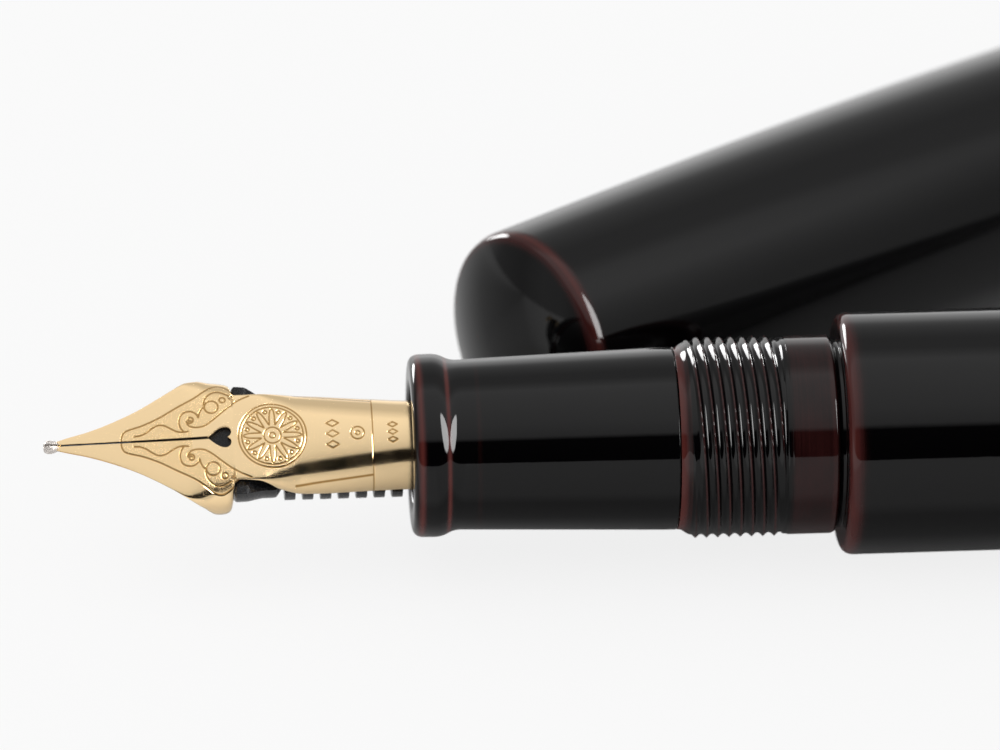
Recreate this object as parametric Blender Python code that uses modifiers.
"""Lacquered fountain pen, uncapped, lying on a desk with its cap beside it.

Metres, +Z up. The pen lies along X with its nib at -X. The origin is on the desk, under the
middle of the barrel's straight part. Lengths along the pen are in millimetres from the square
step behind the neck, growing towards the tail. Lengths along the cap are in millimetres from
the edge of its domed end, growing towards its mouth.
"""

import math

import bmesh
import bpy
from mathutils import Vector

MM = 0.001

# Driving dimensions, in millimetres.
BARREL_RADIUS = 6.6
BARREL_TAIL = 84.0
BARREL_STRAIGHT = 40.0
BARREL_BORE = 4.25
NECK_RADIUS = 5.4
THREAD_CREST = 5.48
THREAD_ROOT = 5.28
THREAD_PITCH = 0.62
THREAD_CRESTS = 8
THREAD_START = -8.39
JOINT_X = -8.92
SECTION_MOUTH = -23.3
SECTION_LIP_RADIUS = 4.93
SECTION_WAIST_RADIUS = 4.62
SECTION_REAR_RADIUS = 4.96
SECTION_BORE = 3.36
NIB_LENGTH_OUT = 19.7
NIB_LENGTH_IN = 8.3
NIB_SHANK_HALF = 2.52
COLLAR_BORE = 2.62
NIB_SHEET = 0.3
NIB_ROLL = 42.0
CAP_LENGTH = 63.2
CAP_RADIUS = 7.3
CAP_EDGE_RADIUS = 6.5
CAP_TAPER = 34.0
CAP_DOME = 1.8
CAP_YAW = 35.3
CAP_EDGE_PLACE = (-16.14, 10.8)
STEP_FROM_ORIGIN = -30.0

PISTON_LEAD = 2.0         # piston travel for each turn of the knob
FIT = 0.05                # clearance between pieces that are pressed or glued together
BIG_STEPS = 40            # facets round the barrel and the cap
SMALL_STEPS = 32          # facets round the section
FINE_STEPS = 24           # facets round the inner pieces
NIB_TIP = SECTION_MOUTH - NIB_LENGTH_OUT


# Scene, collections and materials

def clear_scene():
    for obj in list(bpy.data.objects):
        bpy.data.objects.remove(obj, do_unlink=True)


def new_collection(name):
    collection = bpy.data.collections.new(name)
    bpy.context.scene.collection.children.link(collection)
    return collection


def material(name, color, roughness, metallic=0.0, alpha=1.0):
    mat = bpy.data.materials.new(name)
    mat.use_nodes = True
    shader = mat.node_tree.nodes["Principled BSDF"]
    shader.inputs["Base Color"].default_value = (*color, 1.0)
    shader.inputs["Roughness"].default_value = roughness
    shader.inputs["Metallic"].default_value = metallic
    shader.inputs["Alpha"].default_value = alpha
    mat.diffuse_color = (*color, alpha)
    return mat


def new_empty(name, collection, location, rotation, parent=None):
    empty = bpy.data.objects.new(name, None)
    empty.empty_display_size = 5 * MM
    empty.location = location
    empty.rotation_euler = rotation
    empty.parent = parent
    collection.objects.link(empty)
    return empty


def new_object(name, mesh, collection, parent, mat):
    obj = bpy.data.objects.new(name, mesh)
    obj.parent = parent
    obj.data.materials.append(mat)
    collection.objects.link(obj)
    return obj


def shade_round(mesh):
    mesh.shade_smooth()
    mesh.set_sharp_from_angle(angle=math.radians(35))


# Turned pieces

def turned(name, profile, steps, collection, parent, mat):
    """Turn a profile of (distance, radius) points about the parent's Z.

    The points run along the outer side from the nib's side to the tail's side, and back along
    the bore. The parent's +Z points to the nib's side, so distance is counted along -Z. The
    rings are turned by half a facet, so that a facet and not a corner faces the desk.
    """
    mesh = bpy.data.meshes.new(name)
    points = [(radius * MM, 0.0, -distance * MM) for distance, radius in profile]
    edges = [(i, i + 1) for i in range(len(points) - 1)]
    if profile[0][1] > 0.0:
        edges.append((len(points) - 1, 0))
    mesh.from_pydata(points, edges, [])
    obj = new_object(name, mesh, collection, parent, mat)
    obj.rotation_euler = (0.0, 0.0, math.pi / steps)
    screw = obj.modifiers.new("turn", "SCREW")
    screw.axis = "Z"
    screw.steps = steps
    screw.render_steps = steps
    screw.use_merge_vertices = True
    screw.merge_threshold = 1e-6
    screw.use_smooth_shade = True
    return obj


def tube(front, back, outer, inner):
    """Profile of a plain tube."""
    return [(front, outer), (back, outer), (back, inner), (front, inner)]


def dome(edge, height, radius, outward, count):
    """Points of a shallow dome from its edge to its middle, outward being -1 or +1."""
    sphere = (radius**2 + height**2) / (2 * height)
    points = []
    for i in range(1, count + 1):
        r = radius * (1 - i / count)
        rise = math.sqrt(sphere**2 - r**2) - (sphere - height)
        points.append((edge + outward * rise, r))
    return points


def ring_thread(start, crests, pitch, root, crest):
    """Profile of a thread, drawn as rings: crests on pitch, with roots between."""
    points = []
    for i in range(crests):
        points.append((start + pitch * i, root))
        points.append((start + pitch * (i + 0.5), crest))
    points.append((start + pitch * crests, root))
    return points


def build_barrel(collection, axis, lacquer):
    front = [(JOINT_X, BARREL_BORE), (JOINT_X, SECTION_REAR_RADIUS - 0.03)]
    front.append((THREAD_START - 0.02, THREAD_ROOT - 0.04))
    thread = ring_thread(THREAD_START, THREAD_CRESTS, THREAD_PITCH, THREAD_ROOT, THREAD_CREST)
    groove = NECK_RADIUS - 0.25
    neck = [(-3.35, NECK_RADIUS), (-0.62, NECK_RADIUS), (-0.5, groove), (0.0, groove)]
    step = [(0.0, BARREL_RADIUS - 0.4), (0.12, BARREL_RADIUS - 0.12), (0.42, BARREL_RADIUS)]
    taper_end = BARREL_TAIL - 1.8
    taper = []
    for i in range(6):
        t = i / 5
        radius = BARREL_RADIUS - 1.05 * (1 - math.cos(t * math.pi / 2))
        taper.append((BARREL_STRAIGHT + t * (taper_end - BARREL_STRAIGHT), radius))
    tail_radius = taper[-1][1] - 0.25
    tail = [(BARREL_TAIL - 1.4, tail_radius)] + dome(BARREL_TAIL - 1.4, 1.4, tail_radius, 1, 4)
    bore = [(73.5, 0.0), (72.6, 3.0), (70.0, BARREL_BORE)]
    profile = bore + front + thread + neck + step + taper + tail
    turned("barrel", profile, BIG_STEPS, collection, axis, lacquer)


def build_cap(collection, axis, lacquer, liner):
    end = dome(-0.25, CAP_DOME - 0.25, CAP_EDGE_RADIUS - 0.4, -1, 4)
    end = end[::-1] + [(-0.25, CAP_EDGE_RADIUS - 0.4), (0.1, CAP_EDGE_RADIUS - 0.08)]
    flank = []
    for i in range(6):
        t = i / 5
        swell = (CAP_RADIUS - CAP_EDGE_RADIUS) * math.sin(t * math.pi / 2)
        flank.append((0.55 + t * (CAP_TAPER - 0.55), CAP_EDGE_RADIUS + swell))
    mouth = [(CAP_LENGTH - 5, CAP_RADIUS), (CAP_LENGTH - 0.4, CAP_RADIUS - 0.25)]
    mouth += [(CAP_LENGTH, CAP_RADIUS - 0.6), (CAP_LENGTH, 5.75)]
    thread_end = CAP_LENGTH + THREAD_START + THREAD_CRESTS * THREAD_PITCH
    thread = ring_thread(thread_end - 5 * THREAD_PITCH, 5, THREAD_PITCH, 5.56, 5.36)[::-1]
    bore = [(thread_end - 5 * THREAD_PITCH - 0.5, 5.45), (12.2, 5.45), (11.6, 4.9), (11.0, 0.0)]
    profile = end + flank + mouth + thread + bore
    turned("cap_shell", profile, BIG_STEPS, collection, axis, lacquer)
    seal_rim = CAP_LENGTH + SECTION_MOUTH
    cup = [(12.6, 0.0), (12.6, 4.9), (13.0, 5.38), (seal_rim, 5.38), (seal_rim, 4.7)]
    cup += [(14.4, 4.7), (14.0, 4.3), (13.8, 0.0)]
    turned("inner_cap", cup, FINE_STEPS, collection, axis, liner)


def build_section(collection, axis, lacquer):
    lip = [(SECTION_MOUTH, SECTION_BORE + 0.15), (SECTION_MOUTH, 4.5), (SECTION_MOUTH + 0.25, 4.82)]
    lip += [(SECTION_MOUTH + 0.6, SECTION_LIP_RADIUS), (SECTION_MOUTH + 1.5, SECTION_LIP_RADIUS)]
    lip += [(SECTION_MOUTH + 2.2, 4.78), (SECTION_MOUTH + 3.0, 4.66)]
    flare = []
    waist = SECTION_MOUTH + 3.8
    for i in range(5):
        t = i / 4
        radius = SECTION_WAIST_RADIUS + (SECTION_REAR_RADIUS - SECTION_WAIST_RADIUS) * t**1.5
        flare.append((waist + t * (JOINT_X - 0.4 - waist), radius))
    rear = [(JOINT_X - FIT, SECTION_REAR_RADIUS - 0.1), (JOINT_X - FIT, 3.98), (-13.4, 3.98)]
    bore = [(-13.4, SECTION_BORE), (SECTION_MOUTH + 0.15, SECTION_BORE)]
    turned("section", lip + flare + rear + bore, SMALL_STEPS, collection, axis, lacquer)


def build_section_fittings(collection, axis, plastic, metal):
    """Collar that grips nib and feed, plug with the ink nipple, and the metal screw sleeve."""
    collar = tube(SECTION_MOUTH + 0.5, -14.3, SECTION_BORE - FIT, COLLAR_BORE)
    turned("feed_collar", collar, SMALL_STEPS, collection, axis, plastic)
    plug = [(-14.1, SECTION_BORE - FIT), (-13.2, SECTION_BORE - FIT), (-13.2, 1.25), (-7.1, 1.25)]
    plug += [(-6.8, 1.1), (-6.8, 0.65), (-14.1, 0.65)]
    turned("feed_nipple", plug, FINE_STEPS, collection, axis, plastic)
    sleeve = [(-13.1, 3.6), (-13.1, 3.92), (-9.1, 3.92)]
    sleeve += ring_thread(-8.7, 7, 0.75, 3.98, 4.13)
    sleeve += [(-3.2, 3.95), (-3.2, 3.6)]
    turned("thread_sleeve", sleeve, SMALL_STEPS, collection, axis, metal)


def build_converter(collection, axis, mats):
    """Screw-piston ink converter, from its mouth on the nipple to the plug in its knob."""
    mouth = [(-12.8, 1.5), (-12.8, 3.2), (-12.4, 3.4), (-4.0, 3.4), (-4.0, 3.03), (-6.25, 3.03)]
    mouth += [(-6.25, 1.33), (-12.5, 1.33)]
    turned("converter_mouth", mouth, FINE_STEPS, collection, axis, mats["steel"])
    turned("converter_tube", tube(-6.2, 24.0, 2.98, 2.45), FINE_STEPS, collection, axis, mats["clear"])
    seal = [(-5.0, 0.0), (-5.0, 1.2), (-4.2, 2.0), (-4.0, 2.40), (-3.4, 2.40), (-3.2, 2.15)]
    seal += [(-2.8, 2.15), (-2.6, 2.40), (-2.0, 2.40), (-2.0, 0.0)]
    turned("piston_seal", seal, FINE_STEPS, collection, axis, mats["rubber"])
    rod = [(-1.95, 0.0), (-1.95, 1.6), (-1.4, 1.6), (-1.4, 0.8)]
    rod += ring_thread(0.0, 12, PISTON_LEAD, 0.8, 0.9)
    rod += [(24.4, 0.0)]
    turned("piston_rod", rod, 16, collection, axis, mats["white"])
    turned("rod_guide", tube(21.0, 23.6, 2.4, 1.0), FINE_STEPS, collection, axis, mats["white"])
    nut = [(24.2, 1.0), (24.2, 2.95), (27.2, 2.95), (27.2, 1.9), (31.0, 1.9), (31.0, 1.0)]
    turned("drive_nut", nut, FINE_STEPS, collection, axis, mats["steel"])
    band = [(16.0, 3.03), (16.0, 3.3), (16.2, 3.4), (27.8, 3.4), (28.0, 3.3), (28.0, 3.03)]
    turned("converter_sleeve", band, FINE_STEPS, collection, axis, mats["steel"])
    knob = [(28.2, 1.97), (28.2, 3.0), (28.5, 3.2), (45.7, 3.2), (46.0, 3.0), (46.0, 1.35)]
    knob += [(31.2, 1.35), (31.2, 1.97)]
    turned("converter_knob", knob, FINE_STEPS, collection, axis, mats["black"])
    plug = [(45.4, 0.0), (45.4, 1.28), (46.1, 1.28), (46.1, 2.9), (46.9, 2.7), (47.3, 1.6), (47.4, 0.0)]
    turned("knob_cap", plug, FINE_STEPS, collection, axis, mats["black"])


# Nib and feed, built along the parent's Z with the nib's top facing the parent's X

# Each row is one station of the nib's outer face: the distance behind the tip, the height of
# its ridge above the pen's axis, its half width, how far its sides drop below the ridge, and
# how square its shoulders are, 2 being an ellipse.
NIB_STATIONS = (
    (0.62, 1.30, 0.30, 0.02, 2.0),
    (2.40, 1.42, 0.75, 0.02, 2.0),
    (4.57, 1.56, 1.61, 0.04, 2.0),
    (6.70, 1.70, 2.82, 0.10, 2.2),
    (7.47, 1.76, 3.30, 0.25, 2.4),
    (7.90, 1.79, 3.52, 0.60, 2.6),
    (8.33, 1.83, 3.64, 1.05, 2.7),
    (9.20, 1.90, 3.66, 2.10, 2.5),
    (9.90, 1.93, 3.58, 2.20, 2.5),
    (10.25, 1.95, 3.40, 1.90, 2.5),
    (10.40, 1.95, 2.42, 0.12, 2.5),
    (11.40, 1.95, 2.50, 0.20, 2.5),
    (12.60, 1.95, 2.70, 1.10, 2.4),
    (13.70, 1.95, 2.78, 1.70, 2.3),
    (17.70, 1.97, 2.60, 2.05, 2.05),
    (NIB_LENGTH_OUT, 1.98, NIB_SHANK_HALF, 2.20, 2.0),
    (NIB_LENGTH_OUT + NIB_LENGTH_IN, 1.98, NIB_SHANK_HALF, 2.20, 2.0),
)
BREATHER_AT = 9.25
BREATHER_SIZE = 0.55
SLIT_WIDTH = 0.09
TIPPING_LENGTH = 0.7
TIPPING_HEIGHT = 1.1        # of the pellet's middle above the pen's axis


def nib_station(u):
    """Ridge height, half width, drop and squareness of the nib at a distance u behind its tip."""
    for near, far in zip(NIB_STATIONS, NIB_STATIONS[1:]):
        if u <= far[0]:
            t = max(0.0, (u - near[0]) / (far[0] - near[0]))
            return tuple(a + t * (b - a) for a, b in zip(near[1:], far[1:]))
    return NIB_STATIONS[-1][1:]


def along_pen(u):
    """Parent's Z of a point at a distance u behind the nib's tip."""
    return -(NIB_TIP + u) * MM


def nib_height(u, side, inset=0.0):
    """Height above the pen's axis of the nib's face at a distance side from its middle."""
    height, half, drop, square = nib_station(u)
    share = min(1.0, abs(side) / (half - inset))
    return height - inset - drop + drop * (1.0 - share**square) ** (1.0 / square)


def nib_ring(u, columns):
    """Points across the nib's outer face, from one edge to the other."""
    half = nib_station(u)[1]
    sides = [half * math.sin(math.pi / 2 * (2 * j / columns - 1)) for j in range(columns + 1)]
    return [Vector((nib_height(u, side) * MM, side * MM, along_pen(u))) for side in sides]


def loft_mesh(name, rings, closed):
    """Skin rings of points. A closed loft gets a face on each end."""
    mesh = bpy.data.meshes.new(name)
    bm = bmesh.new()
    rows = [[bm.verts.new(point) for point in ring] for ring in rings]
    for near, far in zip(rows, rows[1:]):
        count = len(near) if closed else len(near) - 1
        for j in range(count):
            k = (j + 1) % len(near)
            bm.faces.new((near[j], near[k], far[k], far[j]))
    if closed:
        bm.faces.new(rows[0][::-1])
        bm.faces.new(rows[-1])
    bmesh.ops.remove_doubles(bm, verts=bm.verts, dist=1e-7)
    bmesh.ops.recalc_face_normals(bm, faces=bm.faces)
    bm.to_mesh(mesh)
    bm.free()
    return mesh


def slit_cutter(collection, parent):
    """Heart-shaped breather hole with the slit that runs from it past the tip."""
    outline = []
    for i in range(18):
        t = math.pi + 0.6 + (math.tau - 1.2) * i / 17
        lobe = math.sin(t) ** 3
        depth = (13 * math.cos(t) - 5 * math.cos(2 * t) - 2 * math.cos(3 * t) - math.cos(4 * t)) / 16
        outline.append((lobe * BREATHER_SIZE, BREATHER_AT + depth * BREATHER_SIZE))
    half = SLIT_WIDTH / 2
    point = BREATHER_AT - BREATHER_SIZE
    outline += [(half, point), (half, -1.0), (-half, -1.0), (-half, point)]
    rings = []
    for height in (0.5, 6.0):
        rings.append([Vector((height * MM, side * MM, along_pen(u))) for side, u in outline])
    mesh = loft_mesh("nib_slit", rings, closed=True)
    cutter = bpy.data.objects.new("nib_slit", mesh)
    cutter.parent = parent
    cutter.hide_render = True
    cutter.display_type = "WIRE"
    collection.objects.link(cutter)
    return cutter


def build_nib(collection, cutters, axis, gold, tip_alloy):
    rings = [nib_ring(station[0], 16) for station in NIB_STATIONS]
    mesh = loft_mesh("nib", rings, closed=False)
    nib = new_object("nib", mesh, collection, axis, gold)
    sheet = nib.modifiers.new("sheet", "SOLIDIFY")
    sheet.thickness = NIB_SHEET * MM
    sheet.offset = -1.0
    cut = nib.modifiers.new("slit", "BOOLEAN")
    cut.operation = "DIFFERENCE"
    cut.solver = "EXACT"
    cut.object = slit_cutter(cutters, axis)
    build_tipping("tipping_left", -1, collection, axis, tip_alloy)
    build_tipping("tipping_right", 1, collection, axis, tip_alloy)


def build_tipping(name, side, collection, axis, tip_alloy):
    """Half of the writing point: a small pellet cut flat along the slit."""
    mesh = bpy.data.meshes.new(name)
    bm = bmesh.new()
    bmesh.ops.create_uvsphere(bm, u_segments=12, v_segments=8, radius=1.0)
    for vert in bm.verts:
        vert.co.x *= 0.36 * MM
        vert.co.y *= 0.34 * MM
        vert.co.z *= TIPPING_LENGTH / 2 * MM
    gap = SLIT_WIDTH / 2 * MM
    everything = bm.verts[:] + bm.edges[:] + bm.faces[:]
    cut = bmesh.ops.bisect_plane(
        bm, geom=everything, plane_co=(0, side * gap, 0), plane_no=(0, -side, 0), clear_outer=True)
    rim = [item for item in cut["geom_cut"] if isinstance(item, bmesh.types.BMEdge)]
    bmesh.ops.contextual_create(bm, geom=rim)
    bmesh.ops.recalc_face_normals(bm, faces=bm.faces)
    bm.to_mesh(mesh)
    bm.free()
    pellet = new_object(name, mesh, collection, axis, tip_alloy)
    pellet.location = (TIPPING_HEIGHT * MM, 0.0, along_pen(TIPPING_LENGTH / 2))
    shade_round(pellet.data)


FEED_PROW = 4.6
FEED_END = NIB_LENGTH_OUT + NIB_LENGTH_IN + 0.3
FEED_CORE = 2.0
FIN_FIRST = 12.82
FIN_PITCH = 0.97
FIN_WIDTH = 0.58
FIN_COUNT = 7
FIN_RADIUS = 2.62
FIN_CENTRE = -0.55        # height of the fins' middle, below the pen's axis
RISER = 0.01              # length over which the feed steps from its core up to a fin


def feed_ring(u, radius, centre, half):
    """Closed ring of the feed: flush under the nib above, a round belly below.

    The belly is an arc of this radius about a point at height centre, and half is the half
    width of the upper face. The belly starts below the nib's edge.
    """
    inset = NIB_SHEET + FIT
    ridge, nib_half, drop, _ = nib_station(u)
    half = min(half, nib_half - inset)
    sides = [half * math.sin(math.pi / 2 * (1 - j / 6)) for j in range(13)]
    top = [(nib_height(u, side, inset), side) for side in sides]
    rim = min(top[0][0] - FIT, ridge - drop - 0.1, centre + 0.5)
    start = math.acos(max(-1.0, min(1.0, (rim - centre) / radius)))
    angles = [-start - (math.tau - 2 * start) * j / 14 for j in range(15)]
    belly = [(centre + radius * math.cos(angle), radius * math.sin(angle)) for angle in angles]
    shoulder = min(half, radius * math.sin(start) - FIT)
    ring = top + [(rim, -shoulder)] + belly + [(rim, shoulder)]
    return [Vector((x * MM, y * MM, along_pen(u))) for x, y in ring]


def prow_ring(u):
    """Ring of the feed's pointed front, which hangs under the tines."""
    t = (u - FEED_PROW) / (9.4 - FEED_PROW)
    radius = 0.4 + 1.9 * math.sqrt(t)
    return feed_ring(u, radius, nib_height(u, 0.0, NIB_SHEET + FIT) - 0.75 * radius, 0.6 * radius)


def build_feed(collection, axis, plastic):
    """Finned feed: a prow under the tines, ears in the nib's notches, fins and a plain shank."""
    rings = [prow_ring(FEED_PROW + 4.8 * i / 5) for i in range(6)]
    rings.append(feed_ring(9.9, 2.4, 0.2, 1.5))
    rings.append(feed_ring(10.25, 2.5, 0.3, 1.5))
    rings.append(feed_ring(10.42, 2.6, 0.4, 1.2))
    rings.append(feed_ring(10.48, 3.05, 0.75, 2.0))
    rings.append(feed_ring(10.65, 3.18, 0.85, 2.0))
    rings.append(feed_ring(11.05, 3.12, 0.8, 2.0))
    rings.append(feed_ring(11.35, 2.62, 0.1, 2.2))
    rings.append(feed_ring(11.75, 2.56, 0.0, 2.2))
    rings.append(feed_ring(12.4, 2.65, 0.0, 2.2))
    rings.append(feed_ring(12.4 + RISER, FEED_CORE, 0.0, 1.9))
    for i in range(FIN_COUNT):
        start = FIN_FIRST + FIN_PITCH * i
        rings.append(feed_ring(start, FEED_CORE, 0.0, 1.9))
        rings.append(feed_ring(start + RISER, FIN_RADIUS, FIN_CENTRE, 2.1))
        rings.append(feed_ring(start + FIN_WIDTH, FIN_RADIUS, FIN_CENTRE, 2.1))
        rings.append(feed_ring(start + FIN_WIDTH + RISER, FEED_CORE, 0.0, 1.9))
    rings.append(feed_ring(FEED_END, FEED_CORE, 0.0, 1.9))
    mesh = loft_mesh("feed", rings, closed=True)
    new_object("feed", mesh, collection, axis, plastic)


def main():
    clear_scene()
    pen = new_collection("fountain_pen")
    cutters = new_collection("cutters")
    lacquer = material("lacquer", (0.02, 0.006, 0.006), 0.12)
    mats = {
        "steel": material("bright_steel", (0.75, 0.75, 0.76), 0.25, 1.0),
        "clear": material("clear_plastic", (0.85, 0.9, 0.92), 0.08, 0.0, 0.35),
        "rubber": material("seal_rubber", (0.03, 0.03, 0.03), 0.6),
        "white": material("white_plastic", (0.8, 0.8, 0.78), 0.4),
        "black": material("black_plastic", (0.015, 0.015, 0.016), 0.3),
    }
    gold = material("nib_gold", (0.9, 0.68, 0.36), 0.2, 1.0)
    tip_alloy = material("tipping_alloy", (0.6, 0.58, 0.56), 0.3, 1.0)
    liner = material("cap_liner", (0.02, 0.02, 0.02), 0.4)

    towards_nib = -math.pi / 2
    flat = math.cos(math.pi / BIG_STEPS)
    pen_place = (STEP_FROM_ORIGIN * MM, 0.0, BARREL_RADIUS * flat * MM)
    pen_axis = new_empty("pen_axis", pen, pen_place, (0.0, towards_nib, 0.0))
    nib_axis = new_empty("nib_axis", pen, (0, 0, 0), (0, 0, -math.radians(NIB_ROLL)), pen_axis)
    cap_x = (STEP_FROM_ORIGIN + CAP_EDGE_PLACE[0]) * MM
    cap_place = (cap_x, CAP_EDGE_PLACE[1] * MM, CAP_RADIUS * flat * MM)
    cap_axis = new_empty("cap_axis", pen, cap_place, (0.0, towards_nib, math.radians(CAP_YAW)))

    build_barrel(pen, pen_axis, lacquer)
    build_cap(pen, cap_axis, lacquer, liner)
    build_section(pen, pen_axis, lacquer)
    build_section_fittings(pen, pen_axis, mats["black"], mats["steel"])
    build_converter(pen, pen_axis, mats)
    build_nib(pen, cutters, nib_axis, gold, tip_alloy)
    build_feed(pen, nib_axis, mats["black"])


main()
